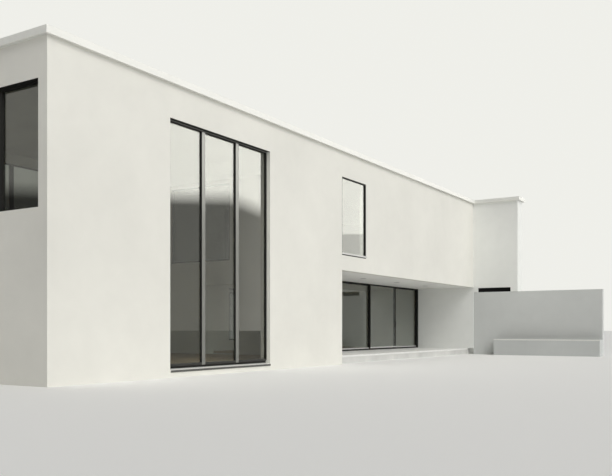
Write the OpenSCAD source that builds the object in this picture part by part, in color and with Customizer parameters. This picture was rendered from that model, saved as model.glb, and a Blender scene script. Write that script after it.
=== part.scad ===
// Detached house: a long white two-storey block under a flat roof, with a hall two storeys high
// behind a tall window, a terrace cut in under the upper storey, and an end wall that runs
// forward as a fin over the garden wall and its planter.
// Millimetres. x runs along the front from its west corner, y into the house, z up from the ground.

/* [House] */
// Length of the front, from the west corner to the end wall
front_len = 22500; // [20000:50:26000]
// Depth of the house over its outer walls
house_depth = 7250; // [6200:50:9000]
// Thickness of the outer walls
wall_t = 250; // [200:5:300]
// Thickness of the wall between the hall and the rooms
inner_wall_t = 400; // [200:10:450]
// Height of the parapet over the roof slab
parapet_h = 250; // [240:5:600]

/* [Levels] */
// Top of the ground floor and of the terrace
floor_z = 250; // [200:5:300]
// Thickness of the floor finish and of the terrace paving
finish_t = 60; // [40:5:90]
// Underside of the terrace soffit
soffit_z = 2870; // [2700:10:2950]
// Thickness of the soffit lining
soffit_t = 60; // [40:5:90]
// Thickness of the upper floor
upper_floor_t = 300; // [200:10:350]
// Sill of the upper windows
upper_sill_z = 3330; // [3310:10:3600]
// Head of the upper windows and of the tall windows
window_head_z = 5720; // [5500:10:5850]
// Underside of the roof slab
ceiling_z = 6000; // [5950:10:6100]
// Thickness of the roof slab
roof_t = 220; // [180:10:260]
// Thickness of the roof covering
roofing_t = 40; // [20:5:60]
// Height of the roof covering's upstand at the parapets
upstand_h = 160; // [80:5:200]
// Thickness of that upstand
upstand_t = 12; // [6:1:20]

/* [Coping] */
// How far the coping stands out from the wall
coping_out = 90; // [40:5:140]
// How far the coping stands in over the roof
coping_in = 40; // [20:5:80]
// Height of the coping's face
coping_h = 140; // [100:5:240]
// How much the coping's top falls towards the roof
coping_fall = 20; // [5:1:40]
// Width of the drip groove under the coping
drip_w = 20; // [10:1:30]
// Depth of the drip groove under the coping
drip_d = 15; // [8:1:25]

/* [Tall windows] */
// Distance of the tall windows from the west corner
tall_x = 3310; // [1500:10:5000]
// Width of the tall windows
tall_w = 3840; // [3000:10:4500]
// Sill of the tall windows
tall_sill_z = 112; // [100:1:130]
// Number of panes across a wide window
pane_n = 3; // [2:1:4]

/* [Upper windows] */
// Width of the small upper windows
small_w = 1570; // [1000:10:1900]
// Width of the window in the west wall
west_w = 3840; // [3000:10:4500]
// Distance of the first back window from the inner wall
back_first = 3400; // [1500:10:4500]
// Distance of the last back window from the end wall
back_last = 1340; // [600:10:2500]
// Sill of the back windows on the ground floor, over the floor
back_sill_h = 400; // [200:10:900]
// Distance from the ceiling down to the head of those windows
back_head_drop = 200; // [100:10:400]
// Width of the doorway in the inner wall
door_w = 1200; // [800:10:1400]
// Height of the doorway in the inner wall
door_h = 2300; // [2000:10:2400]
// Distance of that doorway from the front
door_y = 3820; // [2800:10:4200]
// Distance of the gallery window from the front
gallery_y = 4020; // [3200:10:4500]
// Distance of the gallery window from the back wall
gallery_back = 480; // [200:10:800]
// Head of the gallery window
gallery_head_z = 5850; // [5500:10:5900]
// Width of the gallery window's bars
gallery_bar = 35; // [30:1:60]

/* [Window frames] */
// Width of a frame's outer bars
bar_w = 30; // [24:1:60]
// Width of a frame's mullions
mullion_w = 120; // [70:1:160]
// Depth of a frame from outside to inside
frame_d = 80; // [76:1:100]
// Distance from a frame's outer face to its glass
glass_in = 38; // [30:1:44]
// Thickness of a glass unit
glass_t = 28; // [20:1:30]
// Depth of the groove that holds the glass
glass_bite = 12; // [10:1:14]
// Gap between the glass edge and the bottom of its groove
glass_gap = 4; // [2:0.5:6]
// Set-back of the tall windows from the wall's face
tall_set = 110; // [60:5:125]
// Set-back of the small windows from the wall's face
small_set = 10; // [5:1:60]
// Set-back of the west window from the wall's face
west_set = 125; // [40:5:125]

/* [Sills] */
// Height of a sill's face
sill_face = 50; // [30:1:60]
// Height of a tall window's sill at its back
sill_h = 75; // [65:1:80]
// How far a sill stands out from the wall
sill_out = 20; // [10:1:40]
// How far the small window's sill runs past the window at each end
sill_end = 25; // [10:1:40]
// Height of the recessed foot between a tall window's sill and its frame
foot_h = 71; // [50:1:80]
// Set-back of that foot from the frame's face
foot_in = 30; // [10:1:50]
// Height of the packer under the small window's sill
packer_h = 30; // [15:1:40]

/* [Terrace] */
// Distance of the terrace from the west corner
terrace_x = 10990; // [10000:10:12000]
// Depth of the terrace from the front to its glazing
terrace_d = 2575; // [2000:5:3000]
// Set-back of the paving's edge from the front
paving_set = 250; // [100:10:400]
// How far the paving's edge stands out over its slab
paving_nose = 15; // [10:1:60]
// Number of panels in the terrace glazing
panel_n = 5; // [5:1:7]
// Number of the panel that slides, counted from the west
leaf_panel = 3; // [1:1:4]
// Depth of one glazing track
track_d = 66; // [66:1:90]
// Gap between the two tracks
track_gap = 4; // [2:1:20]
// Height of the threshold
threshold_h = 30; // [20:1:40]
// Height of the head channel
head_h = 24; // [22:1:70]
// Width of the jambs of the terrace glazing
jamb_w = 40; // [30:1:80]
// Width of a panel's stiles
stile_w = 40; // [34:1:70]
// Height of a panel's rails
rail_h = 40; // [40:1:90]
// Depth of a panel's frame
panel_d = 56; // [52:1:56]
// Thickness of the lip in front of the leaf's track
lip_t = 8; // [6:1:12]

/* [Sliding leaf] */
// How far the leaf's two stiles together lap over its neighbours
leaf_lap = 60; // [40:2:100]
// Height of the rail that the leaf runs on
rail_up = 8; // [6:1:12]
// Width of the rail that the leaf runs on
rail_w = 10; // [8:1:14]
// Radius of the leaf's rollers
roller_r = 14; // [10:1:14]
// Width of the leaf's rollers
roller_w = 16; // [12:1:20]
// Running clearance of the rollers over their rail
roller_gap = 0.3; // [0.2:0.1:0.5]
// Clearance between the leaf and the top of its rail
leaf_gap = 6; // [5:0.5:8]
// How far the leaf reaches up into the head channel
head_in = 10; // [8:1:12]
// Clearance over the leaf inside the head channel
head_gap = 6; // [5:1:8]
// Distance of a roller from the end of the leaf
roller_end = 250; // [150:10:600]
// Height of a roller's pocket
roller_pocket = 26; // [25:0.5:27.5]
// Clearance round a roller in its pocket
pocket_gap = 3.5; // [3:0.5:6]
// Radius of a roller's axle
axle_r = 5; // [4:0.5:6]
// Height of the leaf's handle
handle_h = 240; // [150:10:500]
// Radius of the leaf's handle
handle_r = 6; // [5:0.5:8]
// Distance from the leaf's face to the handle's middle
handle_out = 20; // [16:1:24]
// Radius of the handle's two posts
handle_post_r = 5; // [4:0.5:8]
// Distance of a post from the handle's end
handle_post_in = 30; // [15:1:60]
// Height of the handle's middle over the floor
handle_z = 1050; // [900:10:1200]

/* [Downlights] */
// Number of downlights in the soffit
light_n = 4; // [2:1:5]
// Distance of the first downlight from the terrace's west end
light_first = 1050; // [500:10:1500]
// Distance of the last downlight from the end wall
light_last = 2210; // [1200:10:2400]
// Distance of the downlights from the front
light_y = 1280; // [800:10:1600]
// Radius of a downlight's rim
light_r = 110; // [50:1:120]
// Width of a downlight's rim
light_rim = 16; // [8:1:20]
// How far a downlight's rim stands below the soffit
light_lip = 4; // [2:0.5:8]
// How far the lens lies up inside the rim
lens_up = 20; // [10:1:30]
// Clearance of a downlight in its hole
light_gap = 2; // [1:0.5:4]

/* [End wall] */
// Thickness of the end wall and its fin
fin_t = 650; // [500:10:700]
// How far the fin runs forward of the front
fin_out = 1920; // [1200:10:2600]
// How far the end wall runs forward beside the slot
wing_out = 215; // [100:5:500]
// Thickness of the pier that carries the fin
pier_t = 300; // [250:10:500]
// Height of the slot between the garden wall and the fin
slot_h = 180; // [100:5:250]
// Set-back of the dark panel in the slot
slot_set = 30; // [10:5:100]
// Thickness of that panel
slot_panel_t = 30; // [10:5:60]
// How deep the end wall's foot is cut away beside the terrace's front edge
foot_cut = 250; // [100:10:400]

/* [Garden wall] */
// How far the garden wall runs forward of the front
garden_out = 5290; // [4000:10:8000]
// Height of the garden wall
garden_h = 2660; // [2400:10:2690]
// Thickness of the garden wall
garden_t = 230; // [200:10:320]
// Set-back of the garden wall from the end wall's inner face
garden_set = 20; // [5:5:125]

/* [Planter] */
// Length of the planter
planter_len = 4230; // [2500:10:5000]
// Width of the planter
planter_w = 520; // [400:10:900]
// Height of the planter
planter_h = 660; // [450:10:900]
// Thickness of the planter's walls
planter_t = 80; // [60:5:120]
// Depth of the soil under the planter's rim
soil_down = 60; // [30:5:120]

/* [Hidden] */

// Cutting bodies run this far past the faces that they cut
over = 50;
$fn = 64;

// Colours
stucco = [0.90, 0.90, 0.87];
concrete = [0.72, 0.72, 0.70];
paving = [0.80, 0.80, 0.77];
boards = [0.55, 0.45, 0.35];
dark_metal = [0.10, 0.10, 0.11];
pale_glass = [0.75, 0.82, 0.84, 0.35];
coping_white = [0.93, 0.93, 0.91];
soil = [0.20, 0.16, 0.12];
grey_roofing = [0.45, 0.45, 0.45];
steel = [0.60, 0.60, 0.62];
sill_grey = [0.66, 0.66, 0.65];

// Places that several pieces share
hall_end = terrace_x - inner_wall_t;
back_y = house_depth - wall_t;
glazing_y = terrace_d;
leaf_track_y = glazing_y + lip_t;
fixed_track_y = leaf_track_y + track_d + track_gap;
glazing_d = lip_t + 2 * track_d + track_gap;
slab_top = floor_z - finish_t;
upper_floor_z = soffit_z + soffit_t;
upper_z = upper_floor_z + upper_floor_t;
fin_end = front_len + fin_t;
garden_x = front_len + garden_set;
roof_top = ceiling_z + roof_t;
wall_top = roof_top + parapet_h;
west_y = wall_t;
small_x = terrace_x;
back_x = [terrace_x + back_first, front_len - back_last - small_w];
back_sill_z = floor_z + back_sill_h;
back_low_h = soffit_z - back_sill_z - back_head_drop;
tall_frame_z = tall_sill_z + sill_h + foot_h;
tall_h = window_head_z - tall_frame_z;
upper_h = window_head_z - upper_sill_z;
small_sill_z = upper_sill_z + packer_h;
gallery_w = back_y - gallery_back - gallery_y;
gallery_h = gallery_head_z - upper_sill_z;

// Terrace glazing
glazing_w = front_len - terrace_x;
glazing_h = soffit_z - floor_z;
panel_pitch = (glazing_w - 2 * jamb_w) / panel_n;
panel_z = floor_z + threshold_h;
panel_h = glazing_h - threshold_h - head_h;
panel_in = (track_d - panel_d) / 2;
leaf_x = terrace_x + jamb_w + leaf_panel * panel_pitch - leaf_lap / 2;
leaf_w = panel_pitch + leaf_lap;
leaf_z = panel_z + rail_up + leaf_gap;
leaf_h = panel_z + panel_h + head_in - leaf_z;
leaf_y = leaf_track_y + panel_in;
roller_x = [roller_end, leaf_w - roller_end];
roller_z = panel_z + rail_up + roller_gap + roller_r;
pocket_w = roller_w + 2 * pocket_gap;
fixed_n = [for (i = [0 : panel_n - 1]) if (i != leaf_panel) i];

// Downlights
lens_r = light_r - 2 * light_rim;
light_pitch = (front_len - light_last - terrace_x - light_first) / (light_n - 1);

// The whole house stands with the middle of its box over the origin
x_low = -coping_out;
x_high = fin_end + coping_out;
y_low = -garden_out;
y_high = house_depth + coping_out;

module placed() {
    translate([-(x_low + x_high) / 2, -(y_low + y_high) / 2, 0])
        children();
}

// A plain block between two corners
module block(low, high) {
    translate(low)
        cube(high - low);
}

// Clear width of one pane in a window w wide, and where pane i starts
function pane_w(w, panes, bar) = (w - 2 * bar - (panes - 1) * mullion_w) / panes;
function pane_x(w, panes, bar, i) = bar + i * (pane_w(w, panes, bar) + mullion_w);

// A fixed window frame, outer face at y = 0, with grooves that hold the glass
module window_frame(w, h, panes, bar = bar_w) {
    clear_w = pane_w(w, panes, bar);
    clear_h = h - 2 * bar;
    difference() {
        cube([w, frame_d, h]);
        for (i = [0 : panes - 1])
            translate([pane_x(w, panes, bar, i), 0, bar]) {
                translate([0, -over, 0])
                    cube([clear_w, frame_d + 2 * over, clear_h]);
                translate([-glass_bite, glass_in, -glass_bite])
                    cube([clear_w + 2 * glass_bite, glass_t, clear_h + 2 * glass_bite]);
            }
    }
}

// The glass units of such a window
module window_glass(w, h, panes, bar = bar_w) {
    edge = glass_bite - glass_gap;
    for (i = [0 : panes - 1])
        translate([pane_x(w, panes, bar, i) - edge, glass_in, bar - edge])
            cube([pane_w(w, panes, bar) + 2 * edge, glass_t, h - 2 * bar + 2 * edge]);
}

// A tall window's frame on its foot, which fills the wall up to the room
module tall_frame() {
    window_frame(tall_w, tall_h, pane_n);
    translate([0, foot_in, -foot_h])
        cube([tall_w, wall_t - tall_set - foot_in, foot_h]);
}

// The sill under that foot falls from the foot's face to its own front
module tall_sill() {
    rotate([90, 0, 90])
        linear_extrude(height = tall_w)
            polygon([
                [-sill_out, 0], [-sill_out, sill_face], [tall_set + foot_in, sill_h],
                [wall_t, sill_h], [wall_t, 0]
            ]);
}

// Places that face front, west, back and the hall, with the window's outer face at its set-back
module on_front(x, z, set) {
    translate([x, set, z])
        children();
}

module on_west(y, w, z, set) {
    translate([set, y + w, z])
        rotate([0, 0, -90])
            children();
}

module on_back(x, w, z, set) {
    translate([x + w, house_depth - set, z])
        rotate([0, 0, 180])
            children();
}

// Floors and slabs
module ground_slab() {
    color(concrete) {
        block([wall_t, wall_t, 0], [terrace_x, back_y, slab_top]);
        block([terrace_x, paving_set + paving_nose, 0], [front_len, back_y, slab_top]);
    }
}

module hall_floor() {
    color(boards)
        block([wall_t, wall_t, slab_top], [hall_end, back_y, floor_z]);
}

module room_floor() {
    color(boards)
        block([terrace_x, glazing_y, slab_top], [front_len, back_y, floor_z]);
}

module terrace_paving() {
    color(paving)
        block([terrace_x, paving_set, slab_top], [front_len, glazing_y, floor_z]);
}

module upper_floor() {
    color(concrete)
        block([terrace_x, wall_t, upper_floor_z], [front_len, back_y, upper_z]);
}

module terrace_soffit() {
    color(stucco)
        difference() {
            block([terrace_x, wall_t, soffit_z], [front_len, back_y, upper_floor_z]);
            for (i = [0 : light_n - 1])
                translate([light_x(i), light_y, soffit_z - over])
                    cylinder(r = light_r - light_rim + light_gap, h = soffit_t + 2 * over);
        }
}

function light_x(i) = terrace_x + light_first + i * light_pitch;

// A downlight is a rim with a recessed lens, held in its hole in the soffit
module downlights() {
    color(steel)
        for (i = [0 : light_n - 1])
            translate([light_x(i), light_y, soffit_z])
                rotate_extrude()
                    polygon([
                        [0, lens_up], [lens_r, lens_up], [light_r - light_rim, -light_lip],
                        [light_r, -light_lip], [light_r, 0], [light_r - light_rim, 0],
                        [light_r - light_rim, soffit_t], [0, soffit_t]
                    ]);
}

module roof_slab() {
    color(concrete)
        block([wall_t, wall_t, ceiling_z], [front_len, back_y, roof_top]);
}

module roofing() {
    color(grey_roofing)
        block([wall_t, wall_t, roof_top], [front_len, back_y, roof_top + roofing_t]);
}

// The roof covering is turned up at the parapets
module roof_upstands() {
    color(grey_roofing)
        difference() {
            block([wall_t, wall_t, roof_top + roofing_t],
                [front_len, back_y, roof_top + roofing_t + upstand_h]);
            block([wall_t + upstand_t, wall_t + upstand_t, roof_top],
                [front_len - upstand_t, back_y - upstand_t, wall_top]);
        }
}

// Walls
module front_wall() {
    color(stucco)
        difference() {
            block([0, 0, 0], [terrace_x, wall_t, wall_top]);
            block([tall_x, -over, tall_sill_z], [tall_x + tall_w, wall_t + over, window_head_z]);
        }
}

module upper_front_wall() {
    color(stucco)
        difference() {
            block([terrace_x, 0, soffit_z], [front_len, wall_t, wall_top]);
            block([small_x - over, -over, upper_sill_z], [small_x + small_w, wall_t + over, window_head_z]);
        }
}

module west_wall() {
    color(stucco)
        difference() {
            block([0, wall_t, 0], [wall_t, back_y, wall_top]);
            block([-over, wall_t - over, upper_sill_z], [wall_t + over, west_y + west_w, window_head_z]);
        }
}

module back_wall() {
    color(stucco)
        difference() {
            block([0, back_y, 0], [front_len, house_depth, wall_top]);
            block([tall_x, back_y - over, tall_sill_z], [tall_x + tall_w, house_depth + over, window_head_z]);
            for (x = back_x) {
                block([x, back_y - over, upper_sill_z], [x + small_w, house_depth + over, window_head_z]);
                block([x, back_y - over, back_sill_z],
                    [x + small_w, house_depth + over, back_sill_z + back_low_h]);
            }
        }
}

module inner_wall() {
    color(stucco)
        difference() {
            block([hall_end, wall_t, slab_top], [terrace_x, back_y, ceiling_z]);
            block([hall_end - over, gallery_y, upper_sill_z],
                [terrace_x + over, gallery_y + gallery_w, gallery_head_z]);
            block([hall_end - over, door_y, floor_z],
                [terrace_x + over, door_y + door_w, floor_z + door_h]);
        }
}

// The end wall is drawn as its outline seen from the west and extruded through its thickness.
// Its foot is cut back in front of the terrace, in line with the garden wall
module end_wall() {
    color(stucco)
        difference() {
            translate([front_len, 0, 0])
                rotate([90, 0, 90])
                    linear_extrude(height = fin_t)
                        polygon([
                            [house_depth, 0], [house_depth, wall_top],
                            [-fin_out, wall_top], [-fin_out, garden_h],
                            [pier_t - fin_out, garden_h], [pier_t - fin_out, garden_h + slot_h],
                            [-wing_out, garden_h + slot_h], [-wing_out, garden_h], [0, garden_h], [0, 0]
                        ]);
            block([front_len - over, -over, -over],
                [front_len + foot_cut, paving_set + paving_nose, floor_z]);
        }
}

// A dark panel closes the slot between the pier and the end wall, in front of the garden wall's top
module slot_panel() {
    color(dark_metal)
        block([front_len + slot_set, pier_t - fin_out, garden_h],
            [front_len + slot_set + slot_panel_t, -wing_out, garden_h + slot_h]);
}

module garden_wall() {
    color(stucco)
        block([garden_x, -garden_out, 0], [garden_x + garden_t, 0, garden_h]);
}

module planter() {
    color(stucco)
        difference() {
            block([garden_x - planter_w, -garden_out, 0], [garden_x, planter_len - garden_out, planter_h]);
            block([garden_x - planter_w + planter_t, planter_t - garden_out, planter_t],
                [garden_x - planter_t, planter_len - garden_out - planter_t, planter_h + over]);
        }
}

module planter_soil() {
    color(soil)
        block([garden_x - planter_w + planter_t, planter_t - garden_out, planter_t],
            [garden_x - planter_t, planter_len - garden_out - planter_t, planter_h - soil_down]);
}

// Coping profile: across from the wall's outer face inwards, and up from the wall's top
module coping_profile(t) {
    polygon([
        [-coping_out, 0], [-coping_out, coping_h], [t + coping_in, coping_h - coping_fall],
        [t + coping_in, 0], [t, 0], [0, 0],
        [-drip_w, 0], [-drip_w, drip_d], [-2 * drip_w, drip_d], [-2 * drip_w, 0]
    ]);
}

// A coping that runs along +x with the wall's outer face at y = 0, cut at 45 degrees at each
// end that says so; a cut end starts at the outer corner
module coping(len, t, cut_start, cut_end) {
    difference() {
        rotate([90, 0, 90])
            linear_extrude(height = len)
                coping_profile(t);
        if (cut_start)
            translate([0, -coping_out, -over])
                rotate([0, 0, 45])
                    cube([len, len, coping_h + 2 * over]);
        if (cut_end)
            translate([len, -coping_out, -over])
                rotate([0, 0, 45])
                    cube([len, len, coping_h + 2 * over]);
    }
}

module front_coping() {
    color(coping_white)
        translate([-coping_out, 0, wall_top])
            coping(front_len, wall_t, true, false);
}

module west_coping() {
    color(coping_white)
        translate([0, house_depth + coping_out, wall_top])
            rotate([0, 0, -90])
                coping(house_depth + 2 * coping_out, wall_t, true, true);
}

module back_coping() {
    color(coping_white)
        translate([front_len - coping_out, house_depth, wall_top])
            rotate([0, 0, 180])
                coping(front_len, wall_t, false, true);
}

// The end wall's coping caps both of its faces
module end_coping() {
    color(coping_white)
        translate([front_len, house_depth + coping_out, wall_top])
            rotate([90, 0, 0])
                linear_extrude(height = house_depth + fin_out + 2 * coping_out)
                    polygon([
                        [-coping_out, 0], [-coping_out, coping_h], [fin_t + coping_out, coping_h],
                        [fin_t + coping_out, 0],
                        [fin_t + 2 * drip_w, 0], [fin_t + 2 * drip_w, drip_d],
                        [fin_t + drip_w, drip_d], [fin_t + drip_w, 0],
                        [-drip_w, 0], [-drip_w, drip_d], [-2 * drip_w, drip_d], [-2 * drip_w, 0]
                    ]);
}

// Windows
module tall_sills() {
    color(sill_grey) {
        on_front(tall_x, tall_sill_z, 0)
            tall_sill();
        on_back(tall_x, tall_w, tall_sill_z, 0)
            tall_sill();
    }
}

module tall_window_frame() {
    color(dark_metal)
        on_front(tall_x, tall_frame_z, tall_set)
            tall_frame();
}

module tall_window_glass() {
    color(pale_glass)
        on_front(tall_x, tall_frame_z, tall_set)
            window_glass(tall_w, tall_h, pane_n);
}

module back_tall_frame() {
    color(dark_metal)
        on_back(tall_x, tall_w, tall_frame_z, tall_set)
            tall_frame();
}

module back_tall_glass() {
    color(pale_glass)
        on_back(tall_x, tall_w, tall_frame_z, tall_set)
            window_glass(tall_w, tall_h, pane_n);
}

// The small window's sill lies against its frame and runs past the window in front of the wall
module small_sill() {
    color(sill_grey) {
        block([small_x, 0, small_sill_z], [small_x + small_w, small_set, small_sill_z + sill_face]);
        block([small_x - sill_end, -sill_out, small_sill_z],
            [small_x + small_w + sill_end, 0, small_sill_z + sill_face]);
    }
}

module small_window_frame() {
    color(dark_metal)
        on_front(small_x, upper_sill_z, small_set) {
            cube([small_w, frame_d, packer_h]);
            translate([0, 0, packer_h])
                window_frame(small_w, upper_h - packer_h, 1);
        }
}

module small_window_glass() {
    color(pale_glass)
        on_front(small_x, small_sill_z, small_set)
            window_glass(small_w, upper_h - packer_h, 1);
}

module west_window_frame() {
    color(dark_metal)
        on_west(west_y, west_w, upper_sill_z, west_set)
            window_frame(west_w, upper_h, pane_n);
}

module west_window_glass() {
    color(pale_glass)
        on_west(west_y, west_w, upper_sill_z, west_set)
            window_glass(west_w, upper_h, pane_n);
}

module back_window_frames() {
    color(dark_metal)
        for (x = back_x) {
            on_back(x, small_w, upper_sill_z, tall_set)
                window_frame(small_w, upper_h, 1);
            on_back(x, small_w, back_sill_z, tall_set)
                window_frame(small_w, back_low_h, 1);
        }
}

module back_window_glass() {
    color(pale_glass)
        for (x = back_x) {
            on_back(x, small_w, upper_sill_z, tall_set)
                window_glass(small_w, upper_h, 1);
            on_back(x, small_w, back_sill_z, tall_set)
                window_glass(small_w, back_low_h, 1);
        }
}

module gallery_frame() {
    color(dark_metal)
        translate([hall_end, 0, 0])
            on_west(gallery_y, gallery_w, upper_sill_z, 0)
                window_frame(gallery_w, gallery_h, 1, gallery_bar);
}

module gallery_glass() {
    color(pale_glass)
        translate([hall_end, 0, 0])
            on_west(gallery_y, gallery_w, upper_sill_z, 0)
                window_glass(gallery_w, gallery_h, 1, gallery_bar);
}

// One panel of the terrace glazing, its frame and its glass, outer face at y = 0
module panel_frame(w, h) {
    difference() {
        cube([w, panel_d, h]);
        translate([stile_w, -over, rail_h])
            cube([w - 2 * stile_w, panel_d + 2 * over, h - 2 * rail_h]);
        translate([stile_w - glass_bite, (panel_d - glass_t) / 2, rail_h - glass_bite])
            cube([w - 2 * stile_w + 2 * glass_bite, glass_t, h - 2 * rail_h + 2 * glass_bite]);
    }
}

module panel_glass(w, h) {
    edge = glass_bite - glass_gap;
    translate([stile_w - edge, (panel_d - glass_t) / 2, rail_h - edge])
        cube([w - 2 * stile_w + 2 * edge, glass_t, h - 2 * rail_h + 2 * edge]);
}

module on_panel(i) {
    translate([terrace_x + jamb_w + i * panel_pitch, fixed_track_y + panel_in, panel_z])
        children();
}

// The threshold, jambs and head channel of the terrace glazing, with the leaf's rail
module terrace_track() {
    color(dark_metal) {
        difference() {
            block([terrace_x, glazing_y, floor_z], [front_len, glazing_y + glazing_d, soffit_z]);
            block([terrace_x + jamb_w, glazing_y - over, panel_z],
                [front_len - jamb_w, glazing_y + glazing_d + over, panel_z + panel_h]);
            block([terrace_x + jamb_w, leaf_track_y, panel_z],
                [front_len - jamb_w, leaf_track_y + track_d, panel_z + panel_h + head_in + head_gap]);
        }
        block([terrace_x + jamb_w, leaf_track_y + (track_d - rail_w) / 2, panel_z],
            [front_len - jamb_w, leaf_track_y + (track_d + rail_w) / 2, panel_z + rail_up]);
    }
}

module fixed_panels() {
    color(dark_metal)
        for (i = fixed_n)
            on_panel(i)
                panel_frame(panel_pitch, panel_h);
}

module fixed_panel_glass() {
    color(pale_glass)
        for (i = fixed_n)
            on_panel(i)
                panel_glass(panel_pitch, panel_h);
}

// The sliding leaf runs in front of the fixed panels
module sliding_leaf() {
    color(dark_metal)
        translate([leaf_x, leaf_y, leaf_z])
            difference() {
                panel_frame(leaf_w, leaf_h);
                for (x = roller_x)
                    translate([x - roller_r - pocket_gap, (panel_d - pocket_w) / 2, -over])
                        cube([2 * (roller_r + pocket_gap), pocket_w, over + roller_pocket]);
            }
}

module sliding_leaf_glass() {
    color(pale_glass)
        translate([leaf_x, leaf_y, leaf_z])
            panel_glass(leaf_w, leaf_h);
}

module leaf_rollers() {
    color(steel)
        for (x = roller_x)
            translate([leaf_x + x, leaf_y + (panel_d - pocket_w) / 2, roller_z])
                rotate([-90, 0, 0]) {
                    translate([0, 0, pocket_gap])
                        cylinder(r = roller_r, h = roller_w);
                    cylinder(r = axle_r, h = pocket_w);
                }
}

// The handle stands on the leaf's outer face, on its east stile
module leaf_handle() {
    color(dark_metal)
        translate([leaf_x + leaf_w - stile_w / 2, leaf_y, floor_z + handle_z]) {
            translate([0, -handle_out, -handle_h / 2])
                cylinder(r = handle_r, h = handle_h);
            for (s = [-1, 1])
                translate([0, 0, s * (handle_h / 2 - handle_post_in)])
                    rotate([90, 0, 0])
                        cylinder(r = handle_post_r, h = handle_out);
        }
}

placed() ground_slab();
placed() hall_floor();
placed() room_floor();
placed() terrace_paving();
placed() front_wall();
placed() upper_front_wall();
placed() west_wall();
placed() back_wall();
placed() inner_wall();
placed() end_wall();
placed() slot_panel();
placed() garden_wall();
placed() planter();
placed() planter_soil();
placed() upper_floor();
placed() terrace_soffit();
placed() downlights();
placed() roof_slab();
placed() roofing();
placed() roof_upstands();
placed() front_coping();
placed() west_coping();
placed() back_coping();
placed() end_coping();
placed() tall_sills();
placed() tall_window_frame();
placed() tall_window_glass();
placed() back_tall_frame();
placed() back_tall_glass();
placed() small_sill();
placed() small_window_frame();
placed() small_window_glass();
placed() west_window_frame();
placed() west_window_glass();
placed() back_window_frames();
placed() back_window_glass();
placed() gallery_frame();
placed() gallery_glass();
placed() terrace_track();
placed() fixed_panels();
placed() fixed_panel_glass();
placed() sliding_leaf();
placed() sliding_leaf_glass();
placed() leaf_rollers();
placed() leaf_handle();
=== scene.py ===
# Finishes and small trim for a flat-roofed white house, in metres, in the frame of its solids.
import math
import random

import bmesh
import bpy
from mathutils import Euler, Matrix, Vector


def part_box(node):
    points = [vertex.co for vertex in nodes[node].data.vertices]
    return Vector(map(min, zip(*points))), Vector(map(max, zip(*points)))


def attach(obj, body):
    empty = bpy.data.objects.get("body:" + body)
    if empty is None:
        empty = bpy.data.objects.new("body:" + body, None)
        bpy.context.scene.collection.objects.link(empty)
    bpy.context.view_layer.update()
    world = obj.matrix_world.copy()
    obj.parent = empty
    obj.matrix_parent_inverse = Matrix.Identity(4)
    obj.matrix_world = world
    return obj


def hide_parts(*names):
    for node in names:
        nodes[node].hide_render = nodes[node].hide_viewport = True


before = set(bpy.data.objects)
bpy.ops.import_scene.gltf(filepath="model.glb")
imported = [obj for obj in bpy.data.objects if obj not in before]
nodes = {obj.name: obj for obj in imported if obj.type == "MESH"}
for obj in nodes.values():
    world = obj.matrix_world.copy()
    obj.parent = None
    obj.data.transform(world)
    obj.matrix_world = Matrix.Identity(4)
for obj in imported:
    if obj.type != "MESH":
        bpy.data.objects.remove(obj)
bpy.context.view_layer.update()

random.seed(7)

# Camera, worked out from the photograph's vanishing points, measured from the front's west corner
PHOTO_W = 612
FOCAL_PX = 768.7
HORIZON_DOWN_PX = 91.5
SENSOR_MM = 36.0
EYE_BACK = 11.5
EYE_WEST = 9.41
EYE_HEIGHT = 1.06
LOOK_TURN_DEG = 57.9
VIEW_REACH = 1000.0

# The windows' coated panes mirror more than the terrace glazing does
WINDOW_IOR = 2.2
TERRACE_IOR = 1.6

# Colours, as the finish is seen in plain light; those marked below hold painted light or shade
RENDER_WHITE = (0.80, 0.79, 0.735)
# Lighter than the house's own render: painted bounce light from the front wall on the end wall and
# its fin
END_PAINTED_BOUNCE_WHITE = (0.895, 0.905, 0.875)
# Lighter than the house's own render: painted light on the terrace soffit, which is in shade
SOFFIT_PAINTED_LIGHT_WHITE = (0.95, 0.95, 0.92)
# The garden wall and planter: a greyer render, with a cool tint that is painted shade
GARDEN_WHITE = (0.675, 0.69, 0.675)
PLANTER_WHITE = (0.595, 0.61, 0.60)
# The copings' own white, and also the painted highlight on the planter's top edge
COPING_AND_HIGHLIGHT_WHITE = (0.86, 0.86, 0.82)
# The frames' own dark metal, and also the painted shade under the window heads
DARK_METAL_AND_SHADE = (0.022, 0.022, 0.020)
# Painted sheen: pale strips on the tall windows' dark bars, for the sky their fronts mirror
SKY_SHEEN_PAINT = (0.22, 0.22, 0.205)
FOOT_METAL = (0.045, 0.045, 0.042)
# Painted shade: the dark strip on the front of the tall windows' sills
SILL_SHADE_PAINT = (0.10, 0.10, 0.095)
# The small sill's own pale metal, and also the painted sheen on the terrace panels' bottom rails
PALE_METAL_AND_SHEEN = (0.60, 0.60, 0.58)
SILL_WHITE = (0.78, 0.78, 0.75)
PALE_CONCRETE = (0.62, 0.62, 0.595)
PAVING_GREY = (0.80, 0.80, 0.775)
WINDOW_TINT = (0.72, 0.75, 0.72)
TERRACE_TINT = (0.74, 0.78, 0.76)
OAK = (0.42, 0.31, 0.20)
PALE_OAK = (0.4956, 0.3596, 0.224)
BOARD_GAP = (0.08, 0.055, 0.035)
MEMBRANE_GREY = (0.40, 0.41, 0.41)
EARTH = (0.055, 0.040, 0.030)
BARK = (0.13, 0.085, 0.055)
RUBBER_BLACK = (0.012, 0.012, 0.012)
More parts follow.
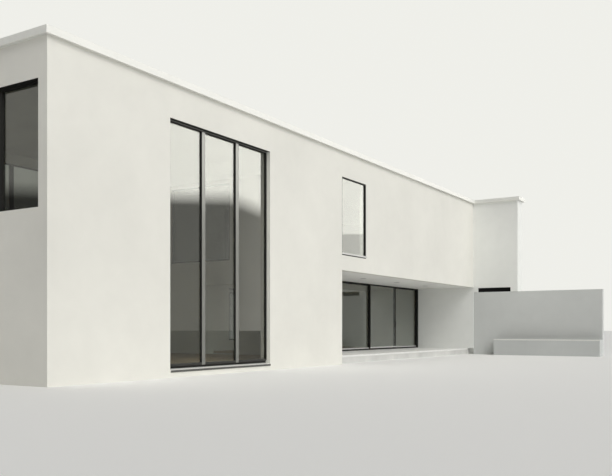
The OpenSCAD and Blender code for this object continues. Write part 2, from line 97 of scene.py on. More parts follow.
# Painted shade: the near-black of the panel in the end wall's slot
SLOT_SHADE_BLACK = (0.006, 0.006, 0.006)
STEEL = (0.55, 0.55, 0.56)
LENS_WHITE = (0.62, 0.62, 0.60)
FLOOR_WHITE = (1.0, 1.0, 0.985)
SKY_LIGHT = (0.98, 0.99, 1.0)
SKY_MIRRORED = (1.0, 0.985, 0.905)
SKY_SEEN = (0.865, 0.865, 0.82)
SUN_LIGHT = (1.0, 0.985, 0.95)

# Oak floor: a board's length and width, the gap between boards, and each row's shift in lengths
BOARD_LEN = 2.2
BOARD_W = 0.18
BOARD_JOINT = 0.002
BOARD_STAGGER = 0.37


# Node helpers

def new_material(name):
    """A new material, its node tree and its Principled shader."""
    mat = bpy.data.materials.new(name)
    mat.use_nodes = True
    tree = mat.node_tree
    shader = tree.nodes["Principled BSDF"]
    return mat, tree, shader


def feed(tree, value, socket):
    """Sets socket to a number or a colour, or links another node's socket to it."""
    if isinstance(value, bpy.types.NodeSocket):
        tree.links.new(value, socket)
    elif isinstance(value, tuple):
        socket.default_value = (*value, 1.0)
    else:
        socket.default_value = value


def object_coords(tree, scale=(1.0, 1.0, 1.0)):
    """Object coordinates, stretched by scale."""
    coords = tree.nodes.new("ShaderNodeTexCoord")
    mapping = tree.nodes.new("ShaderNodeMapping")
    mapping.inputs["Scale"].default_value = scale
    tree.links.new(coords.outputs["Object"], mapping.inputs["Vector"])
    return mapping.outputs["Vector"]


def noise(tree, vector, scale, detail, rough=0.55, distort=0.0):
    """A cloudy value about 0.5, finer as scale grows."""
    node = tree.nodes.new("ShaderNodeTexNoise")
    node.inputs["Scale"].default_value = scale
    node.inputs["Detail"].default_value = detail
    node.inputs["Roughness"].default_value = rough
    node.inputs["Distortion"].default_value = distort
    tree.links.new(vector, node.inputs["Vector"])
    return node.outputs["Fac"]


def spread(tree, value, low, high, out_low, out_high):
    """Maps value from low..high to out_low..out_high, clamped."""
    node = tree.nodes.new("ShaderNodeMapRange")
    node.inputs["From Min"].default_value = low
    node.inputs["From Max"].default_value = high
    node.inputs["To Min"].default_value = out_low
    node.inputs["To Max"].default_value = out_high
    tree.links.new(value, node.inputs["Value"])
    return node.outputs["Result"]


def vary(tree, cloud, low, high):
    """Spreads the middle of a noise value's range over low..high."""
    return spread(tree, cloud, 0.3, 0.7, low, high)


def math_node(tree, operation, a, b):
    """operation on a and b, each a number or a socket."""
    node = tree.nodes.new("ShaderNodeMath")
    node.operation = operation
    feed(tree, a, node.inputs[0])
    feed(tree, b, node.inputs[1])
    return node.outputs["Value"]


def blend(tree, fac, first, second):
    """first where fac is 0, second where it is 1."""
    step = math_node(tree, "SUBTRACT", second, first)
    return math_node(tree, "ADD", first, math_node(tree, "MULTIPLY", fac, step))


def shade(tree, colour, factor):
    """colour times a grey factor."""
    node = tree.nodes.new("ShaderNodeMix")
    node.data_type = "RGBA"
    node.blend_type = "MULTIPLY"
    node.inputs["Factor"].default_value = 1.0
    feed(tree, colour, node.inputs[6])
    feed(tree, factor, node.inputs[7])
    return node.outputs[2]


def coat(tree, shader, colour, tone, rough):
    """Gives the shader colour times tone, and a roughness."""
    feed(tree, shade(tree, colour, tone), shader.inputs["Base Color"])
    feed(tree, rough, shader.inputs["Roughness"])


def bump(tree, shader, height, distance, strength):
    """Fine relief on the shader, distance deep."""
    node = tree.nodes.new("ShaderNodeBump")
    node.inputs["Strength"].default_value = strength
    node.inputs["Distance"].default_value = distance
    tree.links.new(height, node.inputs["Height"])
    tree.links.new(node.outputs["Normal"], shader.inputs["Normal"])


def background(tree, colour, strength):
    """Light of one colour from all round, its strength a number or a socket."""
    node = tree.nodes.new("ShaderNodeBackground")
    feed(tree, colour, node.inputs["Color"])
    feed(tree, strength, node.inputs["Strength"])
    return node.outputs["Background"]


def choose(tree, fac, first, second):
    """The first shader where fac is 0, the second where it is 1."""
    node = tree.nodes.new("ShaderNodeMixShader")
    tree.links.new(fac, node.inputs["Fac"])
    tree.links.new(first, node.inputs[1])
    tree.links.new(second, node.inputs[2])
    return node.outputs["Shader"]


# Finishes

def render_finish(name, colour):
    """Smooth trowelled render: a cloudy tone, partly its own unevenness and partly painted dappled
    shade, a fine grain and faint trowel marks.
    """
    mat, tree, shader = new_material(name)
    plain = object_coords(tree)
    # Clouds and patches: partly the render's own uneven tone, partly painted dappled shade
    clouds = vary(tree, noise(tree, plain, 0.35, 4.0, 0.6), 0.955, 1.03)
    patches = spread(tree, noise(tree, plain, 1.6, 5.0, 0.6, 0.6), 0.35, 0.7, 0.985, 1.012)
    grain = noise(tree, plain, 160.0, 2.0)
    speck = vary(tree, grain, 0.985, 1.01)
    tone = math_node(tree, "MULTIPLY", math_node(tree, "MULTIPLY", clouds, patches), speck)
    strokes = noise(tree, object_coords(tree, (1.0, 1.0, 0.6)), 7.0, 3.0, 0.5, 1.2)
    coat(tree, shader, colour, tone, vary(tree, strokes, 0.80, 0.94))
    relief = math_node(tree, "ADD", strokes, math_node(tree, "MULTIPLY", grain, 0.35))
    bump(tree, shader, relief, 0.0025, 0.6)
    shader.inputs["Specular IOR Level"].default_value = 0.25
    return mat


def concrete_finish():
    """Fair-faced cast concrete of slabs and ceilings."""
    mat, tree, shader = new_material("cast_concrete")
    plain = object_coords(tree)
    clouds = vary(tree, noise(tree, plain, 0.8, 6.0, 0.65), 0.85, 1.08)
    coat(tree, shader, PALE_CONCRETE, clouds, 0.85)
    bump(tree, shader, noise(tree, plain, 90.0, 3.0), 0.002, 0.5)
    return mat


def paving_finish():
    """Honed stone slabs, each slab a little off the next."""
    mat, tree, shader = new_material("honed_paving")
    plain = object_coords(tree)
    attribute = tree.nodes.new("ShaderNodeAttribute")
    attribute.attribute_name = "slab_tone"
    clouds = vary(tree, noise(tree, plain, 2.2, 6.0, 0.62, 0.4), 0.93, 1.04)
    specks = spread(tree, noise(tree, plain, 120.0, 2.0), 0.35, 0.7, 0.94, 1.03)
    surface = math_node(tree, "MULTIPLY", clouds, specks)
    tone = math_node(tree, "MULTIPLY", surface, attribute.outputs["Fac"])
    coat(tree, shader, PAVING_GREY, tone, 0.6)
    bump(tree, shader, noise(tree, plain, 45.0, 4.0), 0.001, 0.4)
    return mat


def oak_floor_finish():
    """Oiled oak boards that run along the house."""
    mat, tree, shader = new_material("oak_boards")
    boards = tree.nodes.new("ShaderNodeTexBrick")
    boards.offset = BOARD_STAGGER
    boards.inputs["Scale"].default_value = 1.0
    boards.inputs["Brick Width"].default_value = BOARD_LEN
    boards.inputs["Row Height"].default_value = BOARD_W
    boards.inputs["Mortar Size"].default_value = BOARD_JOINT
    boards.inputs["Mortar Smooth"].default_value = 0.1
    feed(tree, OAK, boards.inputs["Color1"])
    feed(tree, PALE_OAK, boards.inputs["Color2"])
    feed(tree, BOARD_GAP, boards.inputs["Mortar"])
    feed(tree, object_coords(tree), boards.inputs["Vector"])
    grain = noise(tree, object_coords(tree, (1.0, 14.0, 1.0)), 6.0, 5.0, 0.6)
    coat(tree, shader, boards.outputs["Color"], vary(tree, grain, 0.86, 1.08), 0.42)
    bump(tree, shader, grain, 0.0008, 0.3)
    return mat


def anodised_finish(name, colour, rough, ior):
    """Anodised bars: a faint drawn line along them and a sheen that grows with ior."""
    mat, tree, shader = new_material(name)
    lines = noise(tree, object_coords(tree, (60.0, 60.0, 1.5)), 4.0, 2.0)
    coat(tree, shader, colour, vary(tree, lines, 0.88, 1.12),
         vary(tree, lines, rough, rough + 0.08))
    shader.inputs["IOR"].default_value = ior
    return mat


def coping_finish():
    """Powder-coated coping with a fine texture, which is also the colour of the planter's painted
    highlight.
    """
    mat, tree, shader = new_material("coated_coping_and_painted_highlight")
    plain = object_coords(tree)
    clouds = vary(tree, noise(tree, plain, 0.9, 3.0), 0.97, 1.02)
    peel = noise(tree, plain, 220.0, 2.0)
    coat(tree, shader, COPING_AND_HIGHLIGHT_WHITE, clouds, vary(tree, peel, 0.42, 0.52))
    bump(tree, shader, peel, 0.0005, 0.3)
    return mat


def membrane_finish():
    """Grey roof covering with faint water stains."""
    mat, tree, shader = new_material("roof_membrane")
    plain = object_coords(tree)
    stains = spread(tree, noise(tree, plain, 0.5, 6.0, 0.65, 0.8), 0.3, 0.75, 0.86, 1.08)
    coat(tree, shader, MEMBRANE_GREY, stains, 0.78)
    bump(tree, shader, noise(tree, plain, 30.0, 4.0), 0.002, 0.4)
    return mat


def glass_finish(name, tint, ior):
    """Sun-control glazing: tinted, a little uneven, with a strong even reflection."""
    mat, tree, shader = new_material(name)
    clouds = vary(tree, noise(tree, object_coords(tree), 0.7, 2.0), 0.97, 1.03)
    coat(tree, shader, tint, clouds, 0.0)
    shader.inputs["IOR"].default_value = ior
    shader.inputs["Transmission Weight"].default_value = 1.0
    through = tree.nodes.new("ShaderNodeBsdfTransparent")
    feed(tree, tint, through.inputs["Color"])
    path = tree.nodes.new("ShaderNodeLightPath")
    either = choose(tree, path.outputs["Is Shadow Ray"], shader.outputs["BSDF"],
                    through.outputs["BSDF"])
    feed(tree, either, tree.nodes["Material Output"].inputs["Surface"])
    return mat


def steel_finish():
    """Brushed steel of rollers and light rims."""
    mat, tree, shader = new_material("brushed_steel")
    lines = noise(tree, object_coords(tree, (90.0, 90.0, 3.0)), 6.0, 2.0)
    coat(tree, shader, STEEL, vary(tree, lines, 0.88, 1.08), vary(tree, lines, 0.25, 0.40))
    shader.inputs["Metallic"].default_value = 1.0
    return mat


def slot_shade_finish():
    """A panel whose near-black is painted shade: the dark seen through the slot."""
    mat, tree, shader = new_material("painted_slot_shade")
    tone = vary(tree, noise(tree, object_coords(tree), 60.0, 3.0), 0.8, 1.2)
    coat(tree, shader, SLOT_SHADE_BLACK, tone, 0.8)
    shader.inputs["Specular IOR Level"].default_value = 0.1
    return mat


def rubber_finish():
    """Black rubber of the gaskets."""
    mat, tree, shader = new_material("black_gasket")
    tone = vary(tree, noise(tree, object_coords(tree), 300.0, 2.0), 0.8, 1.2)
    coat(tree, shader, RUBBER_BLACK, tone, 0.6)
    return mat


def earth_finish(name, colour):
    """Lumpy, matt and damp."""
    mat, tree, shader = new_material(name)
    lumps = noise(tree, object_coords(tree), 30.0, 5.0, 0.7)
    coat(tree, shader, colour, vary(tree, lumps, 0.6, 1.5), 0.95)
    bump(tree, shader, lumps, 0.004, 0.6)
    return mat


def lens_finish():
    """Frosted plastic of the downlights."""
    mat, tree, shader = new_material("frosted_lens")
    tone = vary(tree, noise(tree, object_coords(tree), 400.0, 1.0), 0.9, 1.05)
    coat(tree, shader, LENS_WHITE, tone, 0.35)
    return mat


# Mesh helpers

# Chamfers of small trim, from the sharpest
SHARP = 0.0005
CRISP = 0.0008
EASED = 0.001
ROUNDED = 0.0015
CHAMFER_STEPS = 2
# Corners nearer than this are one corner
SAME_SPOT = 1e-5


def add_piece(name, bm, mat, body):
    """Turns bm into a piece that rides on body and belongs to the slot."""
    mesh = bpy.data.meshes.new(name)
    bmesh.ops.recalc_face_normals(bm, faces=bm.faces)
    bm.to_mesh(mesh)
    bm.free()
    mesh.materials.append(mat)
    piece = bpy.data.objects.new(name, mesh)
    bpy.context.scene.collection.objects.link(piece)
    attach(piece, body)
    return piece


def add_block(bm, low, high, chamfer=0.0):
    """A block between two corners, with its edges chamfered."""
    size = Vector(high) - Vector(low)
    middle = (Vector(high) + Vector(low)) / 2
    place = Matrix.Translation(middle) @ Matrix.Diagonal((*size, 1.0))
    made = bmesh.ops.create_cube(bm, size=1.0, matrix=place)
    if chamfer:
        edges = {e for v in made["verts"] for e in v.link_edges}
        bmesh.ops.bevel(bm, geom=list(edges), offset=chamfer, offset_type="OFFSET",
                        segments=CHAMFER_STEPS, profile=0.5, affect="EDGES", material=-1)


def boxes_in(node):
    """Lowest and highest corner of each separate solid of a node."""
    bm = bmesh.new()
    bm.from_mesh(nodes[node].data)
    bmesh.ops.remove_doubles(bm, verts=bm.verts, dist=SAME_SPOT)
    left = set(bm.verts)
    boxes = []
    while left:
        island = {left.pop()}
        to_visit = list(island)
        while to_visit:
            vert = to_visit.pop()
            for edge in vert.link_edges:
                other = edge.other_vert(vert)
                if other not in island:
                    island.add(other)
                    to_visit.append(other)
        left -= island
        low = Vector(min(v.co[i] for v in island) for i in range(3))
        high = Vector(max(v.co[i] for v in island) for i in range(3))
        boxes.append((low, high))
    bm.free()
    return sorted(boxes, key=lambda box: tuple(round(c, 3) for c in box[0]))


# Gaskets: a black bead round each pane, on both faces, in the corner between glass and bar.
# GLASS_HELD is how deep the bars hold the pane's edge.
GLASS_HELD = 0.008
GASKET_W = 0.007
GASKET_PROUD = 0.004


def add_gaskets(glass_node, body, mat):
    bm = bmesh.new()
    for low, high in boxes_in(glass_node):
        across = 0 if high.x - low.x > high.y - low.y else 1
        through = 1 - across
        a0 = low[across] + GLASS_HELD
        a1 = high[across] - GLASS_HELD
        z0 = low.z + GLASS_HELD
        z1 = high.z - GLASS_HELD
        for face, proud in ((low[through], -GASKET_PROUD), (high[through], GASKET_PROUD)):
            near, far = sorted((face, face + proud))
            for s0, s1, t0, t1 in ((a0, a1, z0, z0 + GASKET_W), (a0, a1, z1 - GASKET_W, z1),
                                   (a0, a0 + GASKET_W, z0 + GASKET_W, z1 - GASKET_W),
                                   (a1 - GASKET_W, a1, z0 + GASKET_W, z1 - GASKET_W)):
                corner_low = [0.0, 0.0, t0]
                corner_high = [0.0, 0.0, t1]
                corner_low[across] = s0
                corner_high[across] = s1
                corner_low[through] = near
                corner_high[through] = far
                add_block(bm, corner_low, corner_high, EASED)
    add_piece(glass_node.replace("glass", "gaskets"), bm, mat, body)


# Terrace paving: large slabs with narrow open joints
SLAB_ROWS = 2
SLAB_LEN = 1.15
JOINT_W = 0.006
SLAB_CHAMFER = 0.003
SLAB_TONES = (0.96, 1.03)


def add_paving_slabs(mat):
    low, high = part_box("terrace_paving")
    count = round((high.x - low.x) / SLAB_LEN)
    pitch = (high.x - low.x) / count
    depth = (high.y - low.y) / SLAB_ROWS
    bm = bmesh.new()
    tone = bm.verts.layers.float.new("slab_tone")
    for i in range(count):
        for j in range(SLAB_ROWS):
            laid = set(bm.verts)
            x0, y0 = low.x + i * pitch, low.y + j * depth
            add_block(bm, (x0 + JOINT_W / 2, y0 + JOINT_W / 2, low.z),
                      (x0 + pitch - JOINT_W / 2, y0 + depth - JOINT_W / 2, high.z), SLAB_CHAMFER)
            value = random.uniform(*SLAB_TONES)
            for vert in set(bm.verts) - laid:
                vert[tone] = value
    slabs = add_piece("paving_slabs", bm, mat, "house")
    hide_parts("terrace_paving")


# Bark over the soil in the planter: lengths are shares of CHIP_LEN, and widths, thickness and
# roughness are shares of a chip's own length
CHIP_COUNT = 1500
CHIP_LEN = 0.035
CHIP_LENGTHS = (0.5, 1.3)
CHIP_WIDTHS = (0.3, 0.6)
CHIP_THICK = 0.22
CHIP_LIFTS = (0.002, 0.014)
CHIP_TILT = 0.5
CHIP_ROUGH = 0.08


def add_bark(mat):
    low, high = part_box("planter_soil")
    bm = bmesh.new()
    for _ in range(CHIP_COUNT):
        size = CHIP_LEN * random.uniform(*CHIP_LENGTHS)
        spot = Vector((random.uniform(low.x + size, high.x - size),
                       random.uniform(low.y + size, high.y - size),
                       high.z + random.uniform(*CHIP_LIFTS)))
        turn = Euler((random.uniform(-CHIP_TILT, CHIP_TILT), random.uniform(-CHIP_TILT, CHIP_TILT),
                      random.uniform(0, math.tau)))
        shape = Matrix.Diagonal((size, size * random.uniform(*CHIP_WIDTHS), size * CHIP_THICK, 1.0))
        place = Matrix.Translation(spot) @ turn.to_matrix().to_4x4() @ shape
        made = bmesh.ops.create_icosphere(bm, subdivisions=1, radius=0.5, matrix=place)
        for vert in made["verts"]:
            jolt = Vector((random.uniform(-1, 1), random.uniform(-1, 1), random.uniform(-1, 1)))
            vert.co += jolt * size * CHIP_ROUGH
    add_piece("planter_bark", bm, mat, "house")


# A pale strip along the planter's top edge, painted highlight for the lit top of its rim; its outer
# end stays flush with the garden wall's end
HIGHLIGHT_T = 0.002
HIGHLIGHT_H = 0.040


def add_planter_highlight(mat):
    low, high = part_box("planter")
    under = high.z - HIGHLIGHT_H
    bm = bmesh.new()
    add_block(bm, (low.x - HIGHLIGHT_T, low.y, under), (low.x, high.y + HIGHLIGHT_T, high.z), SHARP)
    add_block(bm, (low.x, high.y, under), (high.x, high.y + HIGHLIGHT_T, high.z), SHARP)
    add_piece("planter_painted_highlight", bm, mat, "house")


# Welded laps across the roof covering
LAP_PITCH = 1.5
LAP_W = 0.09
LAP_H = 0.004
LAP_SUNK = 0.001
LAP_SHORT = 0.03


def add_roof_laps(mat):
    low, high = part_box("roofing")
    bm = bmesh.new()
    count = int((high.x - low.x) / LAP_PITCH)
    for i in range(1, count + 1):
        x = low.x + i * LAP_PITCH
        if x + LAP_W < high.x - LAP_SHORT:
            add_block(bm, (x, low.y + LAP_SHORT, high.z - LAP_SUNK),
                      (x + LAP_W, high.y - LAP_SHORT, high.z + LAP_H), ROUNDED)
    add_piece("roof_laps", bm, mat, "house")


# Frosted lens in each downlight, as wide as LENS_PART of its rim
LENS_DEPTH = 0.022
LENS_T = 0.004
LENS_PART = 0.68
LENS_TAPER = 0.96
LENS_SIDES = 48


def add_lenses(mat):
    bm = bmesh.new()
    for low, high in boxes_in("downlights"):
        middle = (low + high) / 2
        radius = (high.x - low.x) / 2 * LENS_PART
        place = Matrix.Translation((middle.x, middle.y, low.z + LENS_DEPTH))
        bmesh.ops.create_cone(bm, cap_ends=True, segments=LENS_SIDES, radius1=radius,
                              radius2=radius * LENS_TAPER, depth=LENS_T, matrix=place)
    add_piece("downlight_lenses", bm, mat, "house")


# A pale strip along the foot of each terrace panel, painted sheen for the paving its bottom rail
# mirrors, which also covers the glass's lower edge
RAIL_SHEEN_UP = 0.022
RAIL_SHEEN_H = 0.042
RAIL_SHEEN_OUT = 0.003
RAIL_SHEEN_IN = 0.012
RAIL_SHEEN_SHORT = 0.002


def add_rail_sheen(panels, body, mat):
    bm = bmesh.new()
    for low, high in boxes_in(panels):
        foot = low.z + RAIL_SHEEN_UP
        add_block(bm, (low.x + RAIL_SHEEN_SHORT, low.y - RAIL_SHEEN_OUT, foot),
                  (high.x - RAIL_SHEEN_SHORT, low.y + RAIL_SHEEN_IN, foot + RAIL_SHEEN_H), EASED)
    add_piece(panels + "_painted_rail_sheen", bm, mat, body)


# Flat strips on the bars of the tall windows: pale on the mullions and head, painted sheen for the
# sky their fronts mirror, and a dark cover along the foot
COVER_T = 0.003
FOOT_COVER_H = 0.051


def add_strips(name, frame_node, outwards, strips, mat):
    """Flat strips on the frame's face at its -Y (outwards -1) or +Y side (outwards 1).

    Each strip is its x from and to, and its z from and to.
    """
    low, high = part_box(frame_node)
    face = low.y if outwards < 0 else high.y
    near, far = sorted((face, face + outwards * COVER_T))
    bm = bmesh.new()
    for a0, a1, z0, z1 in strips:
        add_block(bm, (a0, near, z0), (a1, far, z1), CRISP)
    add_piece(name, bm, mat, "house")


def add_sheen_and_foot_covers(frame_node, glass_node, outwards, sheen, dark):
    """Covers the mullions and head of a tall window in pale painted sheen for the sky they mirror,
    and its foot in dark.
    """
    low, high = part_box(frame_node)
    panes = [(pane_low.x + GLASS_HELD, pane_high.x - GLASS_HELD)
             for pane_low, pane_high in boxes_in(glass_node)]
    glass_low, glass_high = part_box(glass_node)
    foot = glass_low.z + GLASS_HELD
    foot_low = foot - FOOT_COVER_H
    head = glass_high.z - GLASS_HELD
    bars = [(before[1], after[0], foot_low, head) for before, after in zip(panes, panes[1:])]
    bars.append((low.x, high.x, head, high.z))
    add_strips(frame_node + "_covers", frame_node, outwards, bars, sheen)
    feet = [(a0, a1, foot_low, foot) for a0, a1 in panes]
    add_strips(frame_node + "_foot_covers", frame_node, outwards, feet, dark)


# A dark strip on the outer edge of each tall window's sill: painted shade on the sill's front
SILL_EDGE_T = 0.002
SILL_EDGE_H = 0.047
SILL_EDGE_UP = 0.001


def add_sill_shade(mat):
    bm = bmesh.new()
    middle_y = (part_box("front_wall")[0].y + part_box("back_wall")[1].y) / 2
    for low, high in boxes_in("tall_sills"):
        if low.y < middle_y:
            near, far = low.y - SILL_EDGE_T, low.y
        else:
            near, far = high.y, high.y + SILL_EDGE_T
        foot = low.z + SILL_EDGE_UP
        add_block(bm, (low.x, near, foot), (high.x, far, foot + SILL_EDGE_H), SHARP)
    add_piece("tall_sill_painted_shade", bm, mat, "house")


# A dark sheet under the head of each deep window, from the wall's face to the frame: painted shade
# in the top of the reveal
HEAD_SHADE_T = 0.003
HEAD_SHADE_SHORT = 0.002
HEAD_SHADE_GAP = 0.001


def add_head_shade(mat):
    bm = bmesh.new()
    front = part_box("front_wall")[0].y + HEAD_SHADE_SHORT
    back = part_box("back_wall")[1].y - HEAD_SHADE_SHORT
    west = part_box("west_wall")[0].x + HEAD_SHADE_SHORT
    low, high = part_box("tall_window_frame")
    add_block(bm, (low.x, front, high.z - HEAD_SHADE_T), (high.x, low.y - HEAD_SHADE_GAP, high.z))
    low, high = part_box("back_tall_frame")
    add_block(bm, (low.x, high.y + HEAD_SHADE_GAP, high.z - HEAD_SHADE_T), (high.x, back, high.z))
    low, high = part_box("west_window_frame")
    add_block(bm, (west, low.y, high.z - HEAD_SHADE_T), (low.x - HEAD_SHADE_GAP, high.y, high.z))
    add_piece("head_painted_shade", bm, mat, "house")


white_render = render_finish("white_render", RENDER_WHITE)
# The end wall's render carries painted bounce light
end_render_painted_bounce = render_finish("end_render_painted_bounce", END_PAINTED_BOUNCE_WHITE)
# The soffit's render carries painted light
soffit_render_painted_light = render_finish("soffit_render_painted_light", SOFFIT_PAINTED_LIGHT_WHITE)
garden_render = render_finish("garden_render", GARDEN_WHITE)
planter_render = render_finish("planter_render", PLANTER_WHITE)
concrete = concrete_finish()
paving = paving_finish()
oak = oak_floor_finish()
dark_metal_and_shade = anodised_finish("dark_anodised_and_painted_shade", DARK_METAL_AND_SHADE, 0.30, 1.2)
sky_sheen_paint = anodised_finish("bronze_covers", SKY_SHEEN_PAINT, 0.12, 1.9)
foot_metal = anodised_finish("dark_covers", FOOT_METAL, 0.12, 1.6)
sill_shade_paint = anodised_finish("painted_sill_shade", SILL_SHADE_PAINT, 0.35, 1.4)
pale_metal_and_sheen = anodised_finish("light_anodised_and_painted_sheen", PALE_METAL_AND_SHEEN, 0.35, 1.6)
sill_metal = anodised_finish("coated_sills", SILL_WHITE, 0.35, 1.5)
coping_and_highlight = coping_finish()
membrane = membrane_finish()
window_glass = glass_finish("window_glass", WINDOW_TINT, WINDOW_IOR)
terrace_glass = glass_finish("terrace_glass", TERRACE_TINT, TERRACE_IOR)
steel = steel_finish()
slot_shade = slot_shade_finish()
rubber = rubber_finish()
earth = earth_finish("damp_earth", EARTH)
bark = earth_finish("bark_chips", BARK)
lens = lens_finish()

FINISH_OF = {
    white_render: ("front_wall", "upper_front_wall", "west_wall", "back_wall", "inner_wall"),
    end_render_painted_bounce: ("end_wall",),
    soffit_render_painted_light: ("terrace_soffit",),
    garden_render: ("garden_wall",),
    planter_render: ("planter",),
    concrete: ("ground_slab", "upper_floor", "roof_slab"),
    paving: ("terrace_paving",),
    oak: ("hall_floor", "room_floor"),
    coping_and_highlight: ("front_coping", "west_coping", "back_coping", "end_coping"),
    membrane: ("roofing", "roof_upstands"),
    earth: ("planter_soil",),
    steel: ("leaf_rollers", "downlights"),
    sill_metal: ("tall_sills",),
    pale_metal_and_sheen: ("small_sill",),
    dark_metal_and_shade: ("tall_window_frame", "back_tall_frame", "small_window_frame", "west_window_frame",
                 "back_window_frames", "gallery_frame", "terrace_track", "fixed_panels",
                 "sliding_leaf", "leaf_handle"),
    slot_shade: ("slot_panel",),
    window_glass: ("tall_window_glass", "back_tall_glass", "small_window_glass",
                   "west_window_glass", "back_window_glass", "gallery_glass"),
    terrace_glass: ("fixed_panel_glass", "sliding_leaf_glass"),
}
for mat, names in FINISH_OF.items():
    for name in names:
        nodes[name].data.materials.clear()
        nodes[name].data.materials.append(mat)

for name in FINISH_OF[window_glass] + FINISH_OF[terrace_glass]:
    add_gaskets(name, "sliding_door" if name == "sliding_leaf_glass" else "house", rubber)
add_paving_slabs(paving)
add_bark(bark)
add_planter_highlight(coping_and_highlight)
add_roof_laps(membrane)
add_lenses(lens)
# Painted sheen: pale strips for the paving mirrored on the panels' bottom rails
add_rail_sheen("fixed_panels", "house", pale_metal_and_sheen)
add_rail_sheen("sliding_leaf", "sliding_door", pale_metal_and_sheen)
# Pale strips here are painted sheen; the foot covers are dark
add_sheen_and_foot_covers("tall_window_frame", "tall_window_glass", -1, sky_sheen_paint, foot_metal)
add_sheen_and_foot_covers("back_tall_frame", "back_tall_glass", 1, sky_sheen_paint, foot_metal)
add_sill_shade(sill_shade_paint)
add_head_shade(dark_metal_and_shade)


# Floor, world, lamps and camera

FLOOR_RADIUS = 600.0
FLOOR_TONE = 0.90
FLOOR_IN_GLASS = 0.12
FLOOR_SIDES = 128


def add_floor():
    """A plain pale floor, darker where the glass mirrors it."""
    bm = bmesh.new()
    bmesh.ops.create_circle(bm, cap_ends=True, segments=FLOOR_SIDES, radius=FLOOR_RADIUS)
    mesh = bpy.data.meshes.new("studio_floor")
    bm.to_mesh(mesh)
    bm.free()
    mat, tree, shader = new_material("pale_floor")
    path = tree.nodes.new("ShaderNodeLightPath")
    tone = spread(tree, path.outputs["Is Glossy Ray"], 0.0, 1.0, FLOOR_TONE, FLOOR_IN_GLASS)
    coat(tree, shader, FLOOR_WHITE, tone, 0.9)
    shader.inputs["Specular IOR Level"].default_value = 0.1
    mesh.materials.append(mat)
    floor = bpy.data.objects.new("studio_floor", mesh)
    bpy.context.scene.collection.objects.link(floor)


# Soft light: turn from the front (positive towards the end wall), height, focus and strength
GLOWS = ((-20.0, 0.0, 3.0, 1.52), (-75.0, 50.0, 3.0, 0.06), (135.0, 25.0, 1.5, 0.55))

# What glass and metal mirror: a pale sky over a dark band round the horizon, dimmer from behind the
# house. Both change from straight out of the front, ACROSS, to along it, ALONG, where the band has
# a clear edge and a pale upper part. A SIN is the sine of a height over the horizon. A REACH is the
# share of a direction that points along X, or for BEHIND along Y, where a change starts and ends.
SKY_ACROSS = 2.95
SKY_ALONG = 2.65
BAND_ACROSS = 0.36
BAND_ALONG = 1.12
PALE_BAND = 1.6
BEHIND_IN_GLASS = 0.12
BAND_SIN_ACROSS = 0.172
BAND_SIN_ALONG = 0.1235
PALE_SIN = 0.08
PALE_SOFT = 0.005
EDGE_SIN = (-0.014, 0.006)
EDGE_ACROSS = 1.0
EDGE_ALONG = 8.0
DARK_REACH = (0.78, 0.89)
BAND_REACH = (0.78, 0.86)
ALONG_REACH = (0.82, 0.86)
BEHIND_REACH = (-0.2, 0.6)


def glow(tree, way, turn_deg, height_deg, focus, strength):
    """A broad soft light in the world, strongest towards turn and height."""
    turn = math.radians(turn_deg)
    height = math.radians(height_deg)
    level = math.cos(height)
    towards = tree.nodes.new("ShaderNodeVectorMath")
    towards.operation = "DOT_PRODUCT"
    towards.inputs[1].default_value = (math.sin(turn) * level, -math.cos(turn) * level,
                                       math.sin(height))
    tree.links.new(way, towards.inputs[0])
    facing = spread(tree, towards.outputs["Value"], 0.0, 1.0, 0.0, 1.0)
    return math_node(tree, "MULTIPLY", math_node(tree, "POWER", facing, focus), strength)


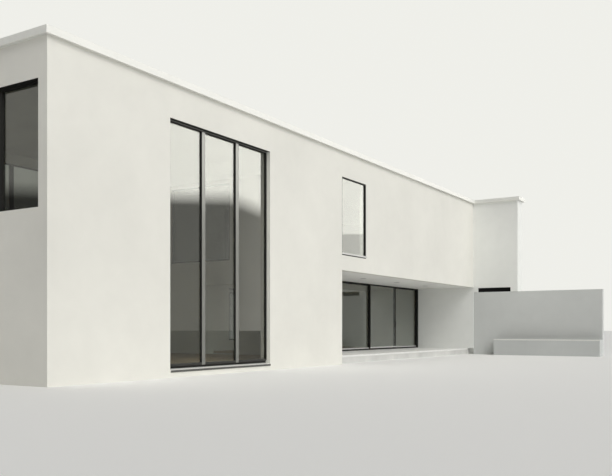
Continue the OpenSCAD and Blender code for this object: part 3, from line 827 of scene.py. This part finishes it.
def set_world():
    """Soft light on the house, a plain sky behind it, and something for its glass to mirror."""
    world = bpy.data.worlds.new("studio")
    bpy.context.scene.world = world
    world.use_nodes = True
    tree = world.node_tree
    tree.nodes.clear()
    out = tree.nodes.new("ShaderNodeOutputWorld")
    path = tree.nodes.new("ShaderNodeLightPath")
    coords = tree.nodes.new("ShaderNodeTexCoord")
    way = coords.outputs["Generated"]
    split = tree.nodes.new("ShaderNodeSeparateXYZ")
    tree.links.new(way, split.inputs["Vector"])

    light = glow(tree, way, *GLOWS[0])
    for more in GLOWS[1:]:
        light = math_node(tree, "ADD", light, glow(tree, way, *more))
    soft = background(tree, SKY_LIGHT, light)

    reach, rise = split.outputs["X"], split.outputs["Z"]
    band_top = spread(tree, reach, *BAND_REACH, BAND_SIN_ACROSS, BAND_SIN_ALONG)
    edge = spread(tree, reach, *ALONG_REACH, EDGE_ACROSS, EDGE_ALONG)
    over_band = math_node(tree, "MULTIPLY", math_node(tree, "SUBTRACT", rise, band_top), edge)
    over = spread(tree, over_band, *EDGE_SIN, 0.0, 1.0)
    dark = spread(tree, reach, *DARK_REACH, BAND_ACROSS, BAND_ALONG)
    along = spread(tree, reach, *ALONG_REACH, 0.0, 1.0)
    high_up = spread(tree, rise, PALE_SIN - PALE_SOFT, PALE_SIN + PALE_SOFT, 0.0, 1.0)
    band = blend(tree, math_node(tree, "MULTIPLY", along, high_up), dark, PALE_BAND)
    sky = spread(tree, reach, *ALONG_REACH, SKY_ACROSS, SKY_ALONG)
    behind = spread(tree, split.outputs["Y"], *BEHIND_REACH, 1.0, BEHIND_IN_GLASS)
    level = math_node(tree, "MULTIPLY", blend(tree, over, band, sky), behind)
    mirrored = background(tree, SKY_MIRRORED, level)

    in_glass = math_node(tree, "MAXIMUM", path.outputs["Is Glossy Ray"],
                         path.outputs["Is Transmission Ray"])
    lit = choose(tree, in_glass, soft, mirrored)
    seen = background(tree, SKY_SEEN, 1.0)
    tree.links.new(choose(tree, path.outputs["Is Camera Ray"], lit, seen), out.inputs["Surface"])


# Two soft suns: strength, turn from the front (positive towards the end wall) and height
KEY_SUN = (1.12, -30.0, 45.0)
FRONT_SUN = (0.50, 12.0, 34.0)
SUN_SOFT_DEG = 40.0


def add_sun(name, strength, turn_deg, height_deg):
    lamp = bpy.data.lights.new(name, "SUN")
    lamp.energy = strength
    lamp.angle = math.radians(SUN_SOFT_DEG)
    lamp.color = SUN_LIGHT
    sun = bpy.data.objects.new(name, lamp)
    sun.rotation_euler = (math.radians(90 - height_deg), 0.0, math.radians(turn_deg))
    bpy.context.scene.collection.objects.link(sun)


def add_camera():
    """A level camera that sees the house as the photograph does."""
    corner_x, front_y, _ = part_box("front_wall")[0]
    cam = bpy.data.cameras.new("photo_camera")
    cam.sensor_width = SENSOR_MM
    cam.lens = FOCAL_PX / PHOTO_W * SENSOR_MM
    cam.shift_y = HORIZON_DOWN_PX / PHOTO_W
    cam.clip_end = VIEW_REACH
    camera = bpy.data.objects.new("photo_camera", cam)
    camera.location = (corner_x - EYE_WEST, front_y - EYE_BACK, EYE_HEIGHT)
    camera.rotation_euler = (math.radians(90), 0.0, math.radians(-LOOK_TURN_DEG))
    bpy.context.scene.collection.objects.link(camera)
    bpy.context.scene.camera = camera


add_floor()
set_world()
add_sun("key_sun", *KEY_SUN)
add_sun("front_sun", *FRONT_SUN)
add_camera()
bpy.context.scene.view_settings.view_transform = "Standard"
